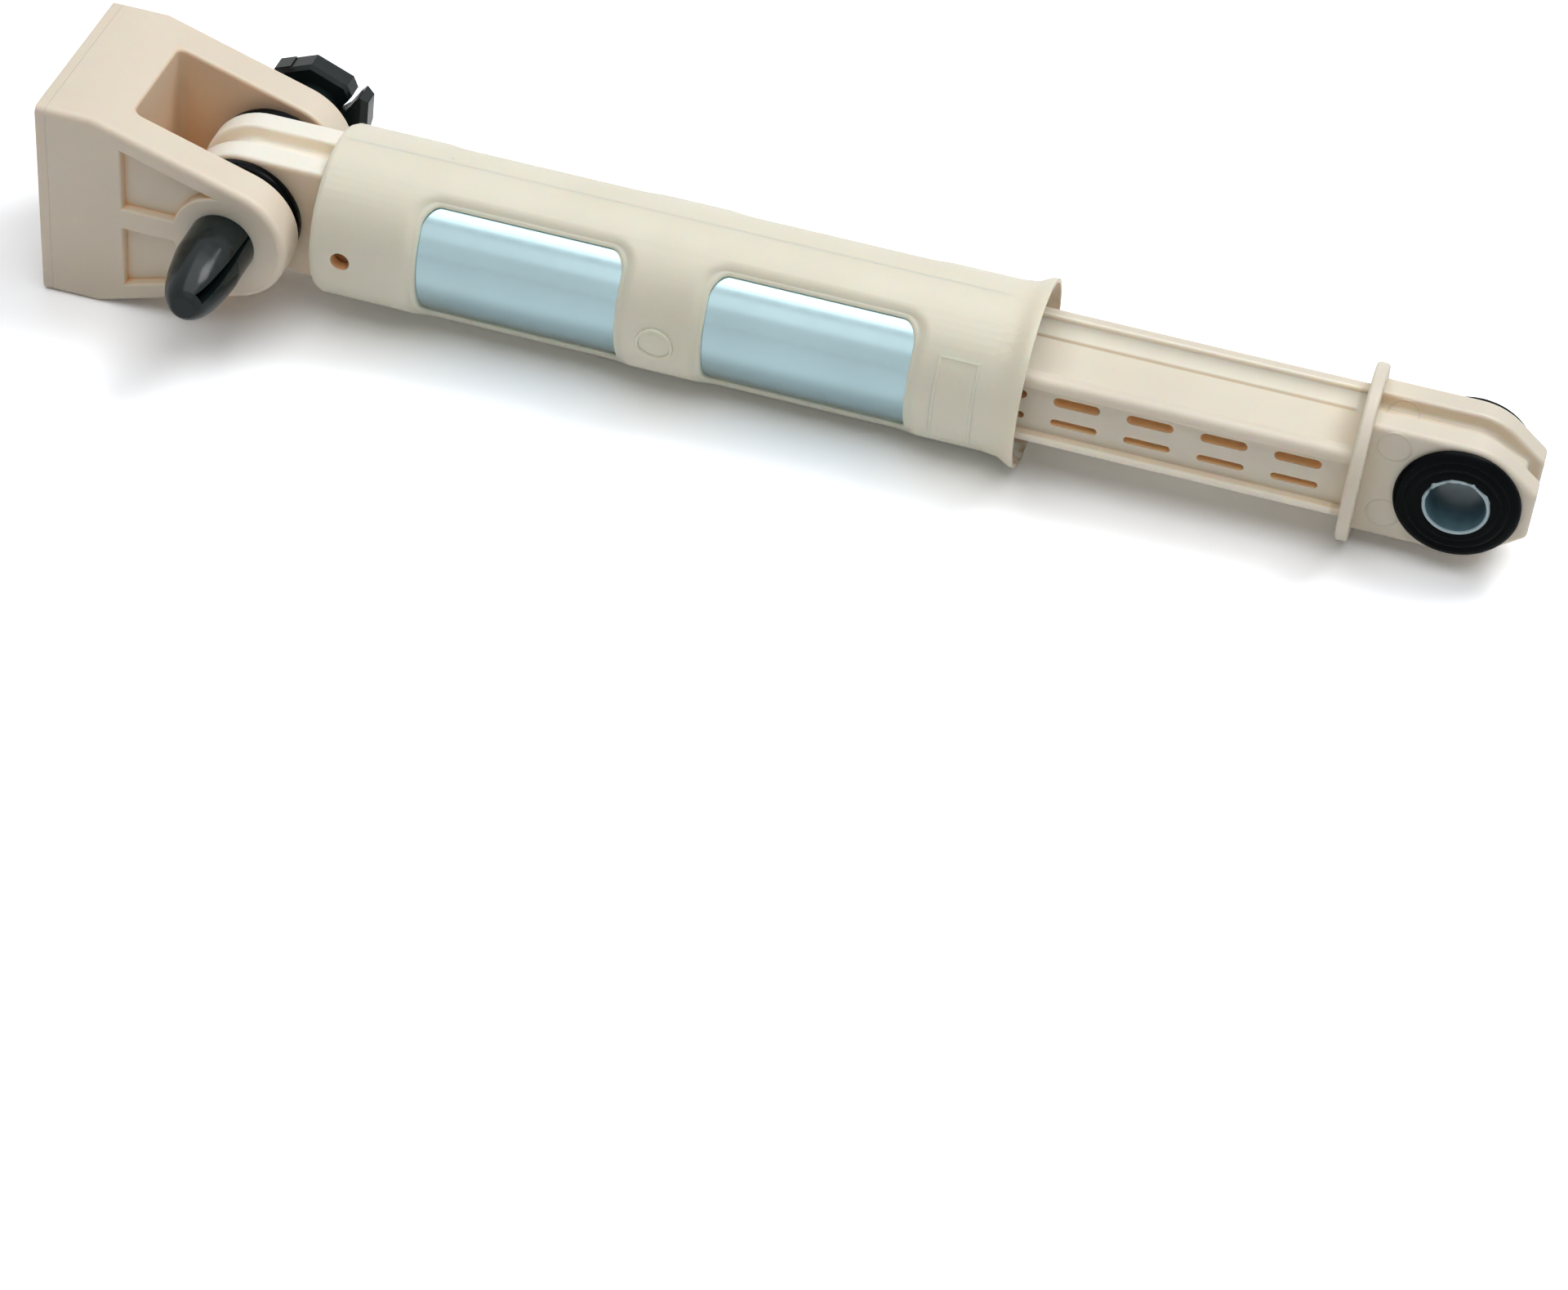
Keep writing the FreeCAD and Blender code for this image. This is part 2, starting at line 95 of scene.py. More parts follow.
# %% Node kit
class NodeKit:
    """Short ways to add nodes to the net of one material or world."""

    def __init__(self, tree):
        self.tree = tree

    def feed(self, socket, value):
        """Links another node's output to a socket, or writes a plain value on it."""
        if hasattr(value, "is_output"):
            self.tree.links.new(value, socket)
        elif isinstance(value, tuple) and socket.type == "RGBA":
            socket.default_value = (*value, 1.0)
        else:
            socket.default_value = value

    def add(self, kind, inputs=None, **settings):
        node = self.tree.nodes.new("ShaderNode" + kind)
        for name, value in settings.items():
            setattr(node, name, value)
        for socket, value in (inputs or {}).items():
            self.feed(node.inputs[socket], value)
        return node

    def maths(self, operation, *values):
        node = self.add("Math", operation=operation)
        for socket, value in zip(node.inputs, values):
            self.feed(socket, value)
        return node.outputs["Value"]

    def product(self, first, *others):
        for other in others:
            first = self.maths("MULTIPLY", first, other)
        return first

    def gap(self, first, second):
        return self.maths("SUBTRACT", first, second)

    def absolute(self, value):
        return self.maths("ABSOLUTE", value)

    def reach(self, first, second):
        """Distance from the middle, from two offsets at right angles."""
        squares = self.maths("ADD", self.product(first, first), self.product(second, second))
        return self.maths("SQRT", squares)

    def remap(self, value, low, high, to_low=0.0, to_high=1.0):
        """Smooth step from one value at the low end to another at the high end."""
        sockets = {"Value": value, "From Min": low, "From Max": high, "To Min": to_low, "To Max": to_high}
        return self.add("MapRange", sockets, interpolation_type="SMOOTHSTEP").outputs["Result"]

    def fall(self, value, low, high):
        """1 below the low end, 0 above the high end."""
        return self.remap(value, low, high, 1.0, 0.0)


print("node kit ready")

# %% [markdown]
# A finish needs more than sums: patterns, colours and a surface. Patterns are placed by object
# coordinates, so that a finish stays put when a piece moves. An image would need the surface to be
# unwrapped first; a pattern made by nodes doesn't.

# %% Finish kit
class FinishKit(NodeKit):
    """Node kit with what a material needs."""

    def place(self):
        return self.add("TexCoord").outputs["Object"]

    def axes(self):
        """The place along X, Y and Z, one by one."""
        return self.add("SeparateXYZ", {"Vector": self.place()}).outputs

    def noise(self, scale, detail=3.0):
        sockets = {"Vector": self.place(), "Scale": scale, "Detail": detail}
        return self.add("TexNoise", sockets).outputs["Fac"]

    def ramp(self, source, *stops):
        """Colour between two stops, each given as a place and a colour."""
        node = self.add("ValToRGB", {"Fac": source})
        for element, (place, colour) in zip(node.color_ramp.elements, stops):
            element.position = place
            element.color = (*colour, 1.0)
        return node.outputs["Color"]

    def mix(self, factor, first, second, blend="MIX"):
        sockets = {"Factor": factor, "A": first, "B": second}
        return self.add("Mix", sockets, data_type="RGBA", blend_type=blend).outputs["Result"]

    def tint(self, factor, base, colour):
        return self.mix(factor, base, colour, "MULTIPLY")

    def shelter(self, distance, closed, open_sky):
        """1 deep in a crevice of the piece itself, 0 in the open."""
        node = self.add("AmbientOcclusion", {"Distance": distance}, only_local=True, samples=8)
        return self.fall(node.outputs["AO"], closed, open_sky)

    def bump(self, height, strength, depth):
        sockets = {"Height": height, "Strength": strength, "Distance": depth}
        return self.add("Bump", sockets).outputs["Normal"]

    def close(self, shader):
        self.add("OutputMaterial", {"Surface": shader.outputs[0]})


def new_finish(name):
    material = bpy.data.materials.new(name)
    material.use_nodes = True
    material.node_tree.nodes.clear()
    return material, FinishKit(material.node_tree)


print("finish kit ready")

# %% [markdown]
# The mouldings are satin nylon: pale, slightly see-through, and warm wherever light has bounced about
# between its walls. Light that goes through the plastic is left to subsurface scattering. The warmth of the
# bounced light and the shade in the piece's own crevices are painted into the colour: a little in wide
# ones, more in tight ones. A slow drift in the colour, an uneven gloss and a fine grain keep it from
# looking painted.

# %% Moulded plastic
painted_bounced_light = (1.02, 0.95, 0.87)
mark_height = 6.0


def moulded_plastic(name, light, dark, roughness, crevice, stain_and_painted_light=None, mark=None):
    material, kit = new_finish(name)
    base = kit.ramp(kit.noise(38.0, 4.0), (0.32, dark), (0.62, light))
    # A piece's own tints come first: real stains such as grease, and painted light and shade.
    if stain_and_painted_light:
        base = stain_and_painted_light(kit, base)
    # Painted bounced light in wide hollows, then painted shade in tight crevices.
    base = kit.tint(kit.shelter(14.0 * MM, 0.30, 0.85), base, painted_bounced_light)
    base = kit.tint(kit.shelter(1.4 * MM, 0.25, 0.80), base, crevice)
    grain = kit.product(kit.noise(2200.0, 2.0), 0.35)
    waves = kit.product(kit.noise(130.0, 2.0), 1.2)
    height = kit.maths("ADD", grain, waves)
    if mark:
        height = kit.maths("ADD", height, kit.product(mark(kit), mark_height))
    gloss = kit.noise(160.0)
    shader = kit.add("BsdfPrincipled", {
        "Base Color": base,
        "Subsurface Weight": 0.55,
        "Subsurface Radius": (1.0, 0.5, 0.25),
        "Subsurface Scale": 1.6 * MM,
        "Roughness": kit.remap(gloss, 0.2, 0.8, roughness - 0.06, roughness + 0.08),
        "Normal": kit.bump(height, 0.5, 0.05 * MM)})
    kit.close(shader)
    return material


# Painted glow: the amber of light coming through the jacket's plastic, for the wall seen behind the vent
# hole.
vent_painted_glow_plastic = moulded_plastic("vent_painted_glow_plastic", light=(0.74, 0.41, 0.18), dark=(0.66, 0.35, 0.14), roughness=0.45,
                             crevice=(1.0, 0.8, 0.6))
print("plastic", vent_painted_glow_plastic.name)

# %% [markdown]
# Light caught between the bracket's two arms makes it glow amber there, and that glow is painted into the
# colour. A box of smooth steps along the three axes marks that room, and the colour is tinted inside it,
# more towards the bottom. A line as thin as a hair runs round the base, where the mould closed; it is too
# low to model, so it only adds to the height that the bump follows.

# %% Bracket plastic
mould_line_x = 2.0 * MM
mould_line_width = 0.12 * MM


def slot_painted_glow(kit, base):
    along, y, z = kit.axes()
    between_arms = kit.fall(kit.absolute(y), 10.9 * MM, 11.6 * MM)
    past_base = kit.remap(along, 15.4 * MM, 16.1 * MM)
    depth = kit.remap(z, -8.0 * MM, 20.5 * MM, 1.0, 0.35)
    # Painted glow of caught light, stronger low down between the arms.
    return kit.tint(kit.product(between_arms, past_base, depth), base, (1.10, 0.80, 0.56))


def base_line(kit):
    along = kit.axes()["X"]
    return kit.fall(kit.absolute(kit.gap(along, mould_line_x)), 0.0, mould_line_width)


cream = moulded_plastic("bracket_cream", light=(0.77, 0.69, 0.57), dark=(0.74, 0.655, 0.535), roughness=0.40,
                        crevice=(1.08, 0.82, 0.58), stain_and_painted_light=slot_painted_glow, mark=base_line)
print("plastic", cream.name)

# %% [markdown]
# The rod is thin enough for light to come through. Its light and shade are painted into the colour: the
# slots in its sides get a painted amber glow, the inner walls of its rails and the lower front lip get a
# pale painted highlight, and a brown line of painted shade lies where a rail meets the web. Each tint is
# laid where a product of smooth steps is 1, as on the bracket. Two faint circles beside the eye are where
# the mould's pins pushed the rod out; they go into the bump, too.

# %% Rod plastic
ejector_r = 2.9 * MM
ejector_width = 0.3 * MM
eye_x = 0.5 * (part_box("rod_sleeve")[0][0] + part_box("rod_sleeve")[1][0])


def rod_painted_light(kit, base):
    along, y, z = kit.axes()
    out = kit.absolute(y)
    up = kit.absolute(z)
    before_disc = kit.fall(along, 243.0 * MM, 244.0 * MM)
    slots = kit.product(kit.fall(up, 3.5 * MM, 3.8 * MM), kit.fall(out, 9.3 * MM, 9.6 * MM))
    # Painted glow: amber in the slots, where light comes through.
    base = kit.mix(kit.product(slots, before_disc), base, (1.0, 0.76, 0.50))
    # Painted shade: a brown line at the foot of each rail, inside the channel.
    from_foot = kit.absolute(kit.gap(out, 5.85 * MM))
    rail_foot_shade_line = kit.remap(from_foot, 0.05 * MM, 0.5 * MM, 0.8, 0.0)
    in_channel = kit.remap(up, 3.9 * MM, 4.0 * MM)
    base = kit.tint(kit.product(rail_foot_shade_line, in_channel, before_disc), base, (0.86, 0.70, 0.52))
    # Painted highlight: the inner walls of the rails and the lower front lip are made pale.
    rail = kit.product(kit.remap(y, 5.9 * MM, 6.3 * MM), kit.fall(y, 8.5 * MM, 8.8 * MM))
    rail_inside_highlight = kit.product(rail, kit.remap(up, 4.2 * MM, 4.6 * MM))
    low_lip_highlight = kit.product(kit.fall(z, -5.3 * MM, -4.9 * MM), kit.fall(y, -8.9 * MM, -8.6 * MM))
    painted_highlight_mask = kit.maths("MAXIMUM", rail_inside_highlight, low_lip_highlight)
    return kit.mix(kit.product(painted_highlight_mask, before_disc), base, (0.90, 0.845, 0.735))


def ejector_ring(kit, before_eye, up):
    axes = kit.axes()
    radius = kit.reach(kit.gap(axes["X"], eye_x - before_eye), kit.gap(axes["Z"], up))
    return kit.fall(kit.absolute(kit.gap(radius, ejector_r)), 0.0, ejector_width)


def ejector_rings(kit):
    upper = ejector_ring(kit, 12.8 * MM, 8.6 * MM)
    lower = ejector_ring(kit, 12.3 * MM, -6.4 * MM)
    return kit.maths("ADD", upper, lower)


rod_cream = moulded_plastic("rod_cream", light=(0.73, 0.675, 0.57), dark=(0.70, 0.645, 0.54), roughness=0.35,
                            crevice=(1.0, 0.97, 0.92), stain_and_painted_light=rod_painted_light, mark=ejector_rings)
print("plastic", rod_cream.name)

# %% [markdown]
# The jacket is greener than the rest. Three places differ: amber grease is wiped round the inside of its
# flared mouth, its eye gets painted light, paler with a warm painted shade on its flanks, and the wall of
# its vent hole gets a painted amber glow. Each is a tint of its own, and the three are laid one over the
# other.

# %% Jacket plastic
mouth_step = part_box("guide_ring")[1][0]
flare_slope = 0.306
vent_x = 57.9 * MM


def mouth_grease(kit, base):
    along, y, z = kit.axes()
    past_step = kit.gap(along, mouth_step)
    mid_wall = kit.maths("ADD", 15.77 * MM, kit.product(past_step, flare_slope))
    inside = kit.remap(kit.gap(mid_wall, kit.reach(y, z)), 0.0, 0.3 * MM)
    deep = kit.remap(past_step, -1.0 * MM, 0.0)
    patchy = kit.remap(kit.noise(300.0, 4.0), 0.36, 0.66)
    low_down = kit.remap(z, -12.0 * MM, 6.0 * MM, 0.85, 0.25)
    return kit.mix(kit.product(inside, deep, patchy, low_down), base, (0.46, 0.29, 0.10))


def eye_painted_light(kit, base):
    axes = kit.axes()
    # Painted light: the eye is made paler, and its flanks get a warm painted shade.
    shaded_flank = kit.remap(kit.absolute(axes["Y"]), 7.0 * MM, 7.5 * MM)
    colour = kit.mix(shaded_flank, (0.93, 0.89, 0.80), (0.80, 0.68, 0.53))
    return kit.mix(kit.fall(axes["X"], 50.6 * MM, 51.6 * MM), base, colour)


def vent_wall_painted_glow(kit, base):
    along, y, z = kit.axes()
    # Painted glow: amber on the wall of the vent hole, where light comes through the plastic.
    near_vent = kit.fall(kit.reach(kit.gap(along, vent_x), z), 1.95 * MM, 2.15 * MM)
    below_surface = kit.remap(y, -15.85 * MM, -15.4 * MM)
    front_side = kit.fall(y, -12.0 * MM, -10.0 * MM)
    return kit.mix(kit.product(near_vent, below_surface, front_side), base, (0.84, 0.57, 0.34))


def jacket_grease_and_painted_light(kit, base):
    return vent_wall_painted_glow(kit, eye_painted_light(kit, mouth_grease(kit, base)))


ivory = moulded_plastic("jacket_ivory", light=(0.80, 0.765, 0.635), dark=(0.765, 0.73, 0.60), roughness=0.33,
                        crevice=(1.02, 0.92, 0.80), stain_and_painted_light=jacket_grease_and_painted_light)
print("plastic", ivory.name)

# %% [markdown]
# The rubber bushes and the pin are black but not alike: the rubber is soft and satin, the pin is a hard
# moulding with a clear highlight and a coarse grain. The foam of the lining is brown and dull. One function
# makes all three, since only their numbers differ.

# %% Black plastic, rubber and foam
def dark_finish(name, colour, roughness, grain_scale, grain_strength, specular):
    material, kit = new_finish(name)
    lighter = tuple(c * 1.9 for c in colour)
    gloss = kit.noise(240.0, 4.0)
    shader = kit.add("BsdfPrincipled", {
        "Base Color": kit.ramp(kit.noise(90.0, 4.0), (0.3, colour), (0.75, lighter)),
        "Roughness": kit.remap(gloss, 0.2, 0.8, roughness - 0.07, roughness + 0.1),
        "Specular IOR Level": specular,
        "Normal": kit.bump(kit.noise(grain_scale), grain_strength, 0.06 * MM)})
    kit.close(shader)
    return material


pin_black = dark_finish("pin_black", (0.006, 0.010, 0.010), roughness=0.17, grain_scale=900.0,
                        grain_strength=0.16, specular=0.24)
rubber_black = dark_finish("rubber_black", (0.0005, 0.0012, 0.0015), roughness=0.22, grain_scale=1400.0,
                           grain_strength=0.12, specular=0.05)
foam_brown = dark_finish("foam_brown", (0.10, 0.07, 0.04), roughness=0.70, grain_scale=700.0,
                         grain_strength=0.5, specular=0.20)
print("dark finishes", [m.name for m in (pin_black, rubber_black, foam_brown)])

# %% [markdown]
# The tube is zinc-plated steel with a cool, even sheen. Metal mostly shows what is round it, so its finish
# is a gloss and hardly any pattern. The sleeves are milky plastic whose light and shade are painted: a
# dark colour for the shade inside the hole and a bright one for the light on the rim. One piece has both
# colours, so the place along Y chooses between them close to the ends.

# %% Steel and sleeve
def plated_steel(name, colour, roughness):
    material, kit = new_finish(name)
    darker = tuple(c * 0.95 for c in colour)
    gloss = kit.noise(300.0, 4.0)
    shader = kit.add("BsdfPrincipled", {
        "Base Color": kit.ramp(kit.noise(60.0, 5.0), (0.35, darker), (0.65, colour)),
        "Metallic": 1.0,
        "Roughness": kit.remap(gloss, 0.2, 0.8, roughness - 0.02, roughness + 0.03),
        "Normal": kit.bump(kit.noise(1500.0, 2.0), 0.04, 0.01 * MM)})
    kit.close(shader)
    return material


def milky_sleeve_painted_light(name, colour, lit_rim_colour, end_y):
    material, kit = new_finish(name)
    darker = tuple(c * 0.75 for c in colour)
    base = kit.ramp(kit.noise(300.0, 4.0), (0.35, darker), (0.65, colour))
    # Painted light: the dark body colour is the shade inside the hole, the rim colour the light on the rim.
    rim = kit.remap(kit.absolute(kit.axes()["Y"]), end_y - 0.5 * MM, end_y - 0.1 * MM)
    shader = kit.add("BsdfPrincipled", {
        "Base Color": kit.mix(rim, base, lit_rim_colour),
        "Roughness": 0.38,
        "Normal": kit.bump(kit.noise(900.0), 0.2, 0.05 * MM)})
    kit.close(shader)
    return material


zinc = plated_steel("zinc_plate", (0.38, 0.52, 0.555), roughness=0.20)
sleeve_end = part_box("rod_sleeve")[1][1]
# Dark painted shade for the hole, bright painted light for the rim.
sleeve_milk_painted_light = milky_sleeve_painted_light("sleeve_milk_painted_light", (0.10, 0.19, 0.23), (0.42, 0.54, 0.58), sleeve_end)
print("metal and sleeve", zinc.name, sleeve_milk_painted_light.name)

# %% [markdown]
# Moulded plastic never has a knife edge. A CAD solid arrives as loose triangles, so a skin is a merged
# copy of it: flat neighbours are dissolved into whole faces, every sharp edge is rounded a little, and
# the shading is smooth except at what is still sharp. The skin then stands for its node. A bevel modifier
# could round the edges too, but it needs the same clean faces first.

# %% Rounded skins from the solids
def finish_shading(mesh, angle=38.0):
    mesh.polygons.foreach_set("use_smooth", [True] * len(mesh.polygons))
    mesh.set_sharp_from_angle(angle=math.radians(angle))


def body_of_node(node):
    for body, nodes in frame["record"]["behaviour"]["bodies"].items():
        if node in nodes:
            return body


def new_piece(name, bm, body, smooth_angle=38.0):
    mesh = bpy.data.meshes.new(name)
    bm.to_mesh(mesh)
    bm.free()
    finish_shading(mesh, smooth_angle)
    piece = bpy.data.objects.new(name, mesh)
    scene.collection.objects.link(piece)
    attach(piece, body)
    return piece


def rounded_skin(node, width, segments=2, sharp=32.0):
    bm = bmesh.new()
    bm.from_mesh(frame["nodes"][node].data)
    bmesh.ops.remove_doubles(bm, verts=bm.verts, dist=2e-6)
    bmesh.ops.dissolve_limit(bm, angle_limit=math.radians(0.6), verts=bm.verts, edges=bm.edges)
    edges = [e for e in bm.edges if e.is_manifold and e.calc_face_angle(0.0) > math.radians(sharp)]
    bmesh.ops.bevel(bm, geom=edges, offset=width, offset_type="OFFSET", segments=segments, profile=0.5,
                    affect="EDGES", clamp_overlap=True, material=-1)
    skin = new_piece(node + "_skin", bm, body_of_node(node))
    weighted = skin.modifiers.new("even shading", "WEIGHTED_NORMAL")
    weighted.keep_sharp = True
    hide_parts(node)
    print(skin.name, len(skin.data.polygons), "faces")
    return skin


bracket = rounded_skin("foot_bracket", 0.5 * MM, segments=3)
jacket = rounded_skin("jacket", 0.3 * MM)
rod = rounded_skin("plunger_rod", 0.35 * MM)
pin = rounded_skin("pivot_pin", 0.3 * MM)

# %% [markdown]
# The four skins get their plastics. The guide ring and the friction lining are scarcely seen, so they stay
# as the plain solids and only get a finish.

# %% Dress the mouldings
def dress(piece, material):
    piece.data.materials.clear()
    piece.data.materials.append(material)


for piece, material in ((bracket, cream), (jacket, ivory), (rod, rod_cream), (pin, pin_black)):
    dress(piece, material)
for node, material in (("guide_ring", pin_black), ("friction_lining", foam_brown)):
    dress(frame["nodes"][node], material)
print("mouldings dressed")

# %% [markdown]
# The round parts are turned afresh, with many more steps than the solids have. An outline is drawn on one
# side of the axis and spun once round it. The rubber bushes come first, with the domed rings that the
# mould leaves on their faces: each ring is a radius and how far it lies behind the end, in millimetres.

# %% Rubber bushes
def turned(name, profile, axis, center_x, body, steps=144):
    """Closed outline of (radius, place along the axis) turned about X or Y."""
    bm = bmesh.new()
    if axis == "Y":
        direction = (0, 1, 0)
        ring = [bm.verts.new((center_x + r, place, 0.0)) for r, place in profile]
    else:
        direction = (1, 0, 0)
        ring = [bm.verts.new((place, 0.0, r)) for r, place in profile]
    edges = [bm.edges.new(pair) for pair in zip(ring, ring[1:] + ring[:1])]
    bmesh.ops.spin(bm, geom=ring + edges, cent=(center_x, 0, 0), axis=direction, angle=2 * math.pi,
                   steps=steps, use_merge=True)
    bmesh.ops.remove_doubles(bm, verts=bm.verts, dist=1e-7)
    bmesh.ops.recalc_face_normals(bm, faces=bm.faces)
    return new_piece(name, bm, body, smooth_angle=50.0)


def middle_x(node):
    low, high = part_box(node)
    return 0.5 * (low[0] + high[0])


bush_r = 11.4
bush_seat_r = 7.99
eye_face = 7.62
back_round = 0.25
bush_rings = [
    (11.4, -1.15), (11.25, -0.85), (10.9, -0.58), (10.4, -0.36), (9.8, -0.22), (9.55, -0.22), (9.4, -0.36),
    (9.2, -0.34), (9.0, -0.12), (8.5, -0.03), (8.0, -0.02), (7.8, -0.16), (7.6, -0.16), (7.4, -0.02),
    (6.7, 0.0)]
for node in ("rod_bush", "foot_bush"):
    sleeve_low, sleeve_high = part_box(node.replace("bush", "sleeve"))
    sleeve_r = 0.5 * (sleeve_high[0] - sleeve_low[0]) + 0.01 * MM
    end_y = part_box(node)[1][1]
    front = [(bush_seat_r * MM, -eye_face * MM), ((bush_r - back_round) * MM, -eye_face * MM),
             (bush_r * MM, -(eye_face + back_round) * MM)]
    front += [(r * MM, -end_y - drop * MM) for r, drop in bush_rings if r * MM > sleeve_r + 0.2 * MM]
    front.append((sleeve_r, -end_y))
    outline = front + [(r, -y) for r, y in reversed(front)]
    bush = turned(node + "_rubber", outline, "Y", middle_x(node), body_of_node(node))
    dress(bush, rubber_black)
    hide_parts(node)
    print(bush.name, len(bush.data.polygons), "faces")

# %% [markdown]
# The sleeves are thin pipes with softened ends. The one in the rod's eye was torn off its moulding, so the
# upper edge of its front end is ragged: a noise moves the points there in or out along the axis, and those
# that stand out also spread.

# %% Sleeves
sleeve_wall = 0.75 * MM
tear_scale = 650.0
tear_lean = 0.2
tear_fade = 3.0 * MM
tear_spread = 0.7


def torn_end(piece, center_x, end_y, amount):
    for vertex in piece.data.vertices:
        outward = Vector((vertex.co.x - center_x, 0.0, vertex.co.z))
        upper = min(1.0, max(0.0, (outward.z - tear_lean * outward.x) / tear_fade))
        if vertex.co.y < end_y:
            wave = noise_of(outward * tear_scale)
            vertex.co.y -= amount * upper * wave
            vertex.co += tear_spread * amount * upper * max(0.0, wave) * outward.normalized()


for node in ("rod_sleeve", "foot_sleeve"):
    low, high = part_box(node)
    outer = 0.5 * (high[0] - low[0])
    inner = outer - sleeve_wall
    end = high[1]
    half = [(inner, end - 0.15 * MM), (inner + 0.12 * MM, end),
            (outer - 0.25 * MM, end), (outer, end - 0.3 * MM)]
    outline = [(r, -y) for r, y in half] + list(reversed(half))
    sleeve = turned(node + "_milky", outline, "Y", middle_x(node), body_of_node(node))
    if node == "rod_sleeve":
        torn_end(sleeve, middle_x(node), -end + 0.4 * MM, 0.8 * MM)
    dress(sleeve, sleeve_milk_painted_light)
    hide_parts(node)
    print(sleeve.name, len(sleeve.data.polygons), "faces")

# %% [markdown]
# The tube is a plain pipe about the X axis. It has more steps than the bushes, because polished metal
# shows every flat.

# %% Steel tube
low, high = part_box("steel_tube")
tube_r = high[1]
tube_wall = 0.8 * MM
outline = [(tube_r, low[0]), (tube_r, high[0]), (tube_r - tube_wall, high[0]), (tube_r - tube_wall, low[0])]
tube = turned("steel_tube_plated", outline, "X", 0.0, body_of_node("steel_tube"), steps=192)
dress(tube, zinc)
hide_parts("steel_tube")
print(tube.name, "radius", round(tube_r / MM, 2))

# %% [markdown]
# The jacket's wall thins softly towards its four windows, so that each has a rolled rim. The skin has too
# few faces there to bend, so planes first cut it into a fine grid round the windows. Then every point
# near a rim sinks towards the tube, the more the nearer it is, and the inside of the wall stays put.

# %% Rolled window rims
barrel_r = 16.0 * MM
windows_middle = 118.55 * MM
window_offset = 27.4 * MM
rim_half_length = 19.95 * MM
rim_half_arc = 16.0 * MM
rim_corner = 3.8 * MM
rim_width = 2.0 * MM
rim_depth = 0.7 * MM
grid_margin = 0.4 * MM
grid_steps = 18


def away_from_window(point):
    """Distance from the nearest window's rim on the unrolled barrel, less than 0 inside it."""
    from_window = abs(abs(point.x - windows_middle) - window_offset)
    arc = barrel_r * math.atan2(abs(point.z), abs(point.y))
    along = max(from_window - rim_half_length + rim_corner, 0.0)
    around = max(arc - rim_half_arc + rim_corner, 0.0)
    return math.hypot(along, around) - rim_corner


def cut_plane(bm, point, normal):
    everything = bm.verts[:] + bm.edges[:] + bm.faces[:]
    bmesh.ops.bisect_plane(bm, geom=everything, dist=2e-6, plane_co=point, plane_no=normal)


def cut_window_grid(bm):
    span = rim_corner + rim_width + 2 * grid_margin
    steps = [span * step / grid_steps - rim_corner - grid_margin for step in range(grid_steps + 1)]
    for center in (windows_middle - window_offset, windows_middle + window_offset):
        for side in (-1, 1):
            for step in steps:
                cut_plane(bm, (center + side * (rim_half_length + step), 0, 0), (1, 0, 0))
    for step in steps:
        angle = (rim_half_arc + step) / barrel_r
        for side in (-1, 1):
            cut_plane(bm, (0, 0, 0), (0, side * math.sin(angle), math.cos(angle)))


def roll_rims(skin, wall_inside):
    bm = bmesh.new()
    bm.from_mesh(skin.data)
    cut_window_grid(bm)
    for vertex in bm.verts:
        radius = math.hypot(vertex.co.y, vertex.co.z)
        near = min(1.0, max(0.0, 1.0 - away_from_window(vertex.co) / rim_width))
        if near > 0 and radius > wall_inside:
            squeeze = 1.0 - near ** 2 * rim_depth / (barrel_r - wall_inside)
            factor = (wall_inside + (radius - wall_inside) * squeeze) / radius
            vertex.co = Vector((vertex.co.x, vertex.co.y * factor, vertex.co.z * factor))
    bm.to_mesh(skin.data)
    bm.free()
    finish_shading(skin.data)


roll_rims(jacket, tube_r + 0.1 * MM)
print(jacket.name, len(jacket.data.polygons), "faces with rolled rims")

# %% [markdown]
# The rod's channels run out softly: a sloping strip fills the foot of each rail, on both faces of the rod.
# Its outline across the rod, in millimetres, is drawn once and pulled along the rod from the piston to the
# disc.

# %% Rail fillets
rail_foot = [(5.75, 4.08), (6.1, 4.34), (6.8, 4.92), (7.5, 5.6), (7.95, 6.15), (8.25, 6.62)]
piston_end = 152.0 * MM
disc_start = 245.4 * MM


def rail_fillet(side_y, side_z):
    bm = bmesh.new()
    row = [bm.verts.new((piston_end, side_y * y * MM, side_z * z * MM)) for y, z in rail_foot]
    edges = [bm.edges.new(pair) for pair in zip(row, row[1:])]
    grown = bmesh.ops.extrude_edge_only(bm, edges=edges)["geom"]
    far = [g for g in grown if isinstance(g, bmesh.types.BMVert)]
    bmesh.ops.translate(bm, verts=far, vec=(disc_start - piston_end, 0, 0))
    bmesh.ops.recalc_face_normals(bm, faces=bm.faces)
    if sum(face.normal.z for face in bm.faces) * side_z < 0:
        bmesh.ops.reverse_faces(bm, faces=bm.faces)
    return bm


for side_z, level in ((1, "top"), (-1, "low")):
    for side_y, where in ((1, "back"), (-1, "front")):
        name = "rail_fillet_%s_%s" % (level, where)
        strip = new_piece(name, rail_fillet(side_y, side_z), "rod", smooth_angle=80.0)
        dress(strip, rod_cream)
print("rail fillets done")

# %% [markdown]
# Two raised marks stand on the front of the jacket: a blank frame near the mouth and a plain ring between
# the windows. Each is made flat, which is easy to draw, and then wrapped on the barrel.

# %% Raised marks on the jacket
def wrap_on_barrel(bm, along, around=0.0):
    """Bends flat work (x along, y round, z out) on to the side of the barrel that faces -Y."""
    for vertex in bm.verts:
        angle = around + vertex.co.y / barrel_r
        radius = barrel_r + vertex.co.z
        vertex.co = Vector((along + vertex.co.x, -radius * math.cos(angle), radius * math.sin(angle)))
    bmesh.ops.recalc_face_normals(bm, faces=bm.faces)


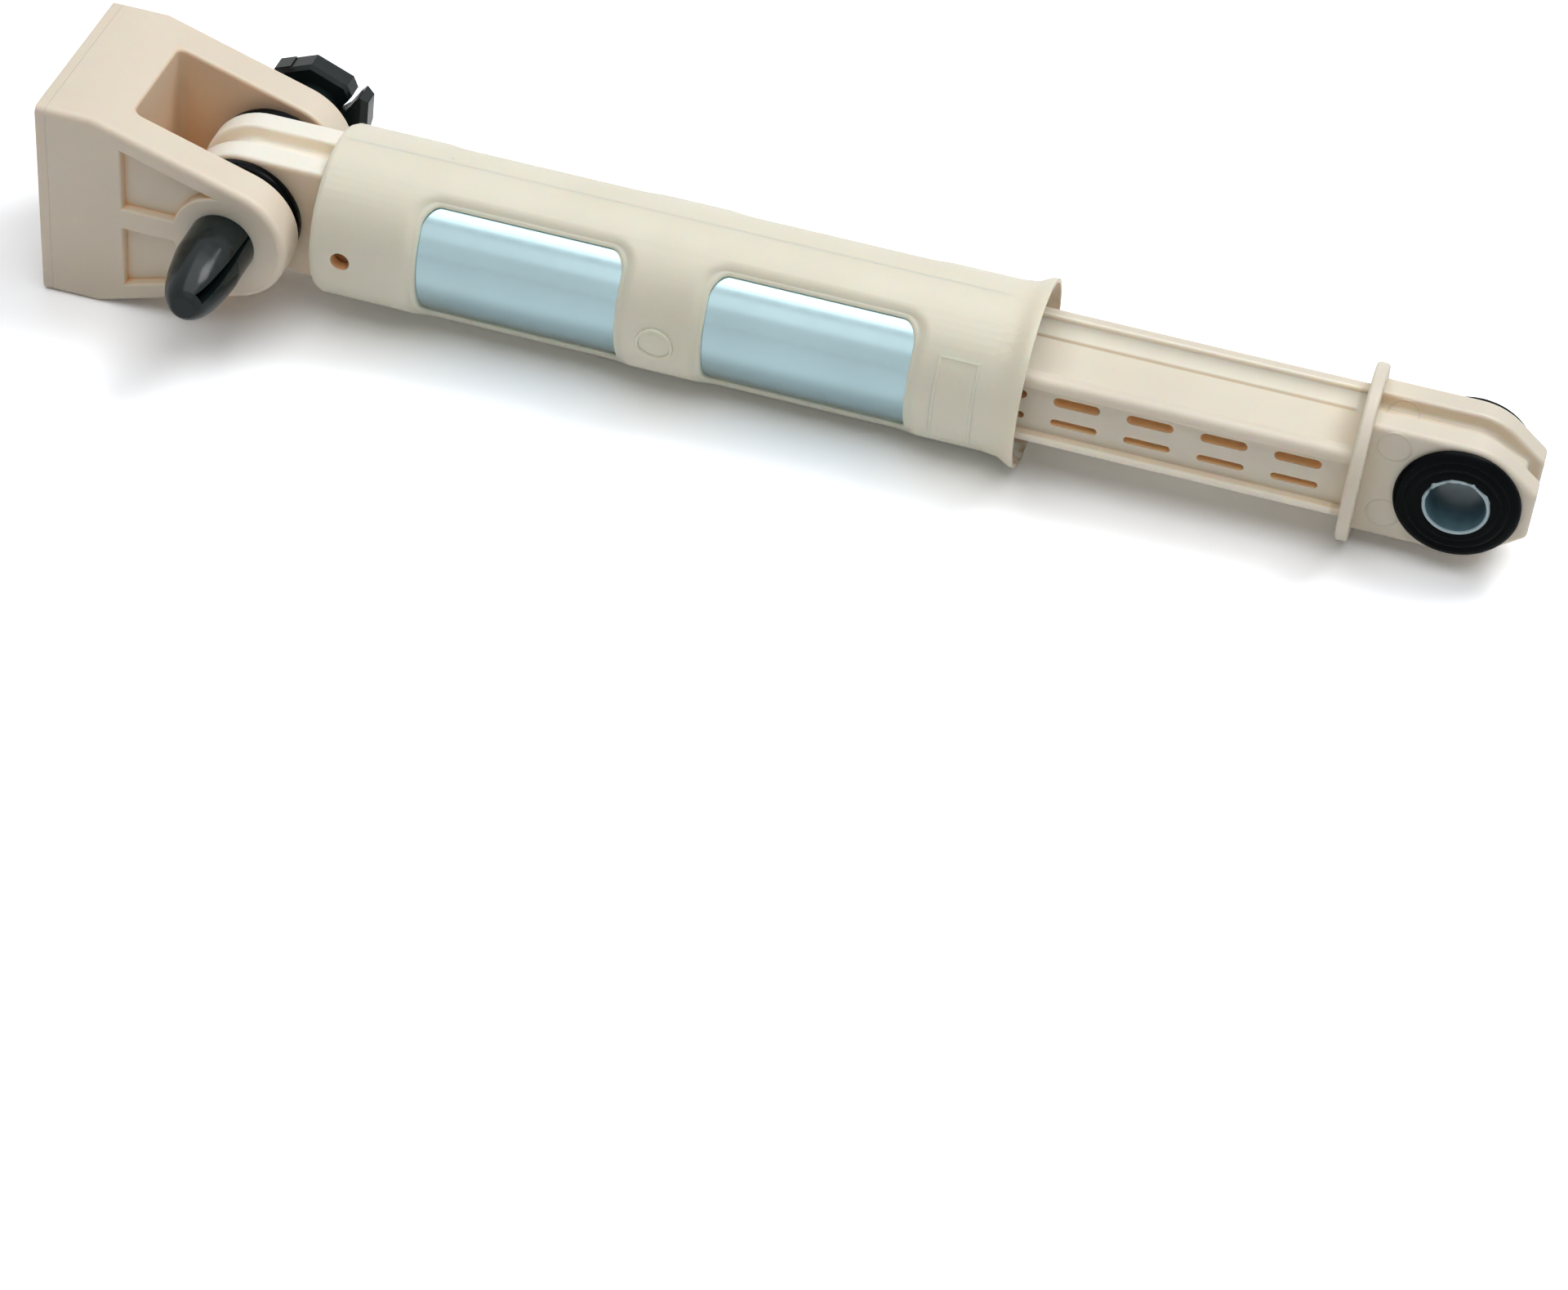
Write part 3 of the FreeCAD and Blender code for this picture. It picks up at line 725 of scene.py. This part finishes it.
def blank_frame(length, height, lift):
    bm = bmesh.new()
    bmesh.ops.create_grid(bm, x_segments=1, y_segments=28, size=0.5)
    bmesh.ops.scale(bm, vec=(length, height, 1.0), verts=bm.verts)
    bmesh.ops.translate(bm, vec=(0, 0, lift), verts=bm.verts)
    rim = [e for e in bm.edges if e.is_boundary]
    skirt = bmesh.ops.extrude_edge_only(bm, edges=rim)["geom"]
    for vertex in [g for g in skirt if isinstance(g, bmesh.types.BMVert)]:
        vertex.co.z = -0.15 * MM
        vertex.co.x *= 1.03
    top = [f for f in bm.faces if f.normal.z > 0.5 or min(v.co.z for v in f.verts) > 0]
    floor_drop = -(lift - 0.03 * MM)
    bmesh.ops.inset_region(bm, faces=top, thickness=0.4 * MM, depth=0.0, use_even_offset=True)
    bmesh.ops.inset_region(bm, faces=top, thickness=0.12 * MM, depth=floor_drop, use_even_offset=True)
    return bm


def plain_ring(radius, width, lift):
    bm = bmesh.new()
    section = [(radius - width, -0.1 * MM), (radius - width * 0.6, lift), (radius + width * 0.6, lift),
               (radius + width, -0.1 * MM)]
    ring = [bm.verts.new((r, 0, z)) for r, z in section]
    edges = [bm.edges.new(pair) for pair in zip(ring, ring[1:])]
    bmesh.ops.spin(bm, geom=ring + edges, cent=(0, 0, 0), axis=(0, 0, 1), angle=2 * math.pi, steps=72,
                   use_merge=True)
    bmesh.ops.remove_doubles(bm, verts=bm.verts, dist=1e-7)
    return bm


frame_bm = blank_frame(length=7.6 * MM, height=20.0 * MM, lift=0.2 * MM)
wrap_on_barrel(frame_bm, along=174.0 * MM)
ring_bm = plain_ring(radius=3.3 * MM, width=0.32 * MM, lift=0.45 * MM)
wrap_on_barrel(ring_bm, along=118.4 * MM, around=-0.10)
for name, work in (("jacket_blank_frame", frame_bm), ("jacket_plain_ring", ring_bm)):
    dress(new_piece(name, work, "barrel"), ivory)
print("raised marks done")

# %% [markdown]
# A mould leaves thin, uneven lines: a seam along the top and bottom, where its halves met, and ragged skin
# that was squeezed out along the lower rim of each window. Both are strips cut from a fine grid, whose
# points are then moved to where a noise puts them.

# %% Seams and flash
def uneven_strip(name, start, end, place):
    """Strip along the barrel; place(x, across) gives a point's y and z, with across from -0.5 to 0.5."""
    bm = bmesh.new()
    bmesh.ops.create_grid(bm, x_segments=180, y_segments=2, size=0.5)
    for vertex in bm.verts:
        x = start + (end - start) * (vertex.co.x + 0.5)
        vertex.co = Vector((x, *place(x, vertex.co.y)))
    bmesh.ops.recalc_face_normals(bm, faces=bm.faces)
    dress(new_piece(name, bm, "barrel", smooth_angle=80.0), ivory)


seam_width = 0.44 * MM
seam_sink = 0.05 * MM
seam_low = 0.06 * MM
seam_ragged = 0.10 * MM
flash_y = 8.3 * MM
flash_slant = 0.5 * MM
flash_z = -12.04 * MM
flash_height = 0.55 * MM


def seam_line(up):
    def place(x, across):
        ridge = seam_low + seam_ragged * abs(noise_of(Vector((x * 320.0, up, 0.0))))
        lift = (1.0 - 2.0 * abs(across)) * ridge
        return seam_width * across, up * (barrel_r - seam_sink + lift)

    return place


def flash_line(side):
    def place(x, across):
        coarse = max(0.0, noise_of(Vector((x * 900.0, side, 3.0))))
        fine = abs(noise_of(Vector((x * 2600.0, side, 9.0))))
        rise = (0.5 + across) * (coarse + 0.25 * fine) * flash_height
        return side * (flash_y - flash_slant * across), flash_z + rise

    return place


for up, name in ((1, "jacket_seam_top"), (-1, "jacket_seam_bottom")):
    uneven_strip(name, 53.0 * MM, 179.5 * MM, seam_line(up))
for number, start in enumerate((72.0 * MM, 126.8 * MM), 1):
    for side, where in ((-1, "front"), (1, "back")):
        name = "window_%d_flash_%s" % (number, where)
        uneven_strip(name, start + 2.5 * MM, start + 35.8 * MM, flash_line(side))
print("seams and flash done")

# %% [markdown]
# Through the vent hole the inside of the jacket is seen, glowing warm where light comes through the
# plastic. A small disc behind the hole stands for it, painted with that amber glow, so that the eye doesn't
# look into an empty barrel.

# %% Wall behind the vent
vent_wall_r = 3.4 * MM
vent_wall_y = -12.9 * MM
bm = bmesh.new()
bmesh.ops.create_circle(bm, cap_ends=True, segments=48, radius=vent_wall_r)
bmesh.ops.rotate(bm, verts=bm.verts, cent=(0, 0, 0), matrix=Matrix.Rotation(math.radians(90), 3, "X"))
bmesh.ops.translate(bm, verts=bm.verts, vec=(vent_x, vent_wall_y, 0))
dress(new_piece("vent_back_wall", bm, "barrel"), vent_painted_glow_plastic)
print("vent wall done")

# %% [markdown]
# The damper lies on its bracket and on the rim of the rod's disc, so the table is a plane through those
# two. Its white comes from its own colour: for the camera it is a little brighter than for the light it
# gives back, and it still shows the shadow. Far from the object it fades to plain white.

# %% Table
middle = (0.14, 0.0, 0.0)
fade_start = 0.30
fade_end = 0.70


def seen_directly(kit, mirrored=1.0):
    """1 for what the camera sees, a share for what metal or glass shows, 0 for light that scatters."""
    path = kit.add("LightPath").outputs
    shown = kit.maths("MAXIMUM", path["Is Glossy Ray"], path["Is Transmission Ray"])
    return kit.maths("MAXIMUM", path["Is Camera Ray"], kit.product(shown, mirrored))


def white_table():
    material, kit = new_finish("white_table")
    paint = kit.mix(seen_directly(kit, 0.3), (0.90, 0.90, 0.90), (1.40, 1.42, 1.46))
    near = kit.add("BsdfDiffuse", {"Color": paint})
    far = kit.add("Emission")
    away = kit.add("VectorMath", {0: kit.place(), 1: middle}, operation="DISTANCE").outputs["Value"]
    fade = kit.product(kit.remap(away, fade_start, fade_end), seen_directly(kit))
    kit.close(kit.add("MixShader", {"Fac": fade, 1: near.outputs[0], 2: far.outputs[0]}))
    return material


low_left = Vector((11.0 * MM, 0, -20.75 * MM))
low_right = Vector((247.0 * MM, 0, -16.4 * MM))
slope = math.atan2(low_right.z - low_left.z, low_right.x - low_left.x)
bm = bmesh.new()
bmesh.ops.create_grid(bm, x_segments=1, y_segments=1, size=4.0)
bmesh.ops.rotate(bm, verts=bm.verts, cent=(0, 0, 0), matrix=Matrix.Rotation(-slope, 3, "Y"))
bmesh.ops.translate(bm, verts=bm.verts, vec=low_left)
table_mesh = bpy.data.meshes.new("table")
bm.to_mesh(table_mesh)
bm.free()
table = bpy.data.objects.new("table", table_mesh)
scene.collection.objects.link(table)
table_mesh.materials.append(white_table())
print("table slope", round(math.degrees(slope), 2), "degrees")

# %% [markdown]
# The photograph looks lit by a large soft box overhead. A smaller lamp behind draws the bright line along
# the top of the tube, and a weak one in front opens the shadows on the faces that look at the camera. The
# world is white where it is seen or mirrored, and gives hardly any light, so that the shadows stay.

# %% Lamps and world
def soft_box(name, place, target, size, power):
    """Large flat lamp that looks at a target."""
    data = bpy.data.lights.new(name, "AREA")
    data.shape = "RECTANGLE"
    data.size, data.size_y = size
    data.energy = power
    lamp = bpy.data.objects.new(name, data)
    scene.collection.objects.link(lamp)
    lamp.location = place
    lamp.rotation_euler = (Vector(target) - Vector(place)).to_track_quat("-Z", "Y").to_euler()


soft_box("key", (0.20, -0.04, 0.95), (0.20, -0.04, 0.0), size=(1.1, 1.3), power=8.8)
soft_box("back", (0.60, 0.45, 1.00), middle, size=(0.5, 0.5), power=5.0)
soft_box("front", (0.20, -1.25, 0.85), middle, size=(1.1, 0.55), power=0.95)

world = bpy.data.worlds.new("studio")
scene.world = world
world.use_nodes = True
sky = world.node_tree.nodes["Background"]
sky_kit = NodeKit(world.node_tree)
sky_kit.feed(sky.inputs["Color"], (1.0, 1.0, 1.0))
sky_kit.feed(sky.inputs["Strength"], sky_kit.remap(seen_directly(sky_kit), 0.0, 1.0, 0.05, 1.0))
scene.view_settings.view_transform = "Standard"
print("lamps", [light.name for light in bpy.data.lights])
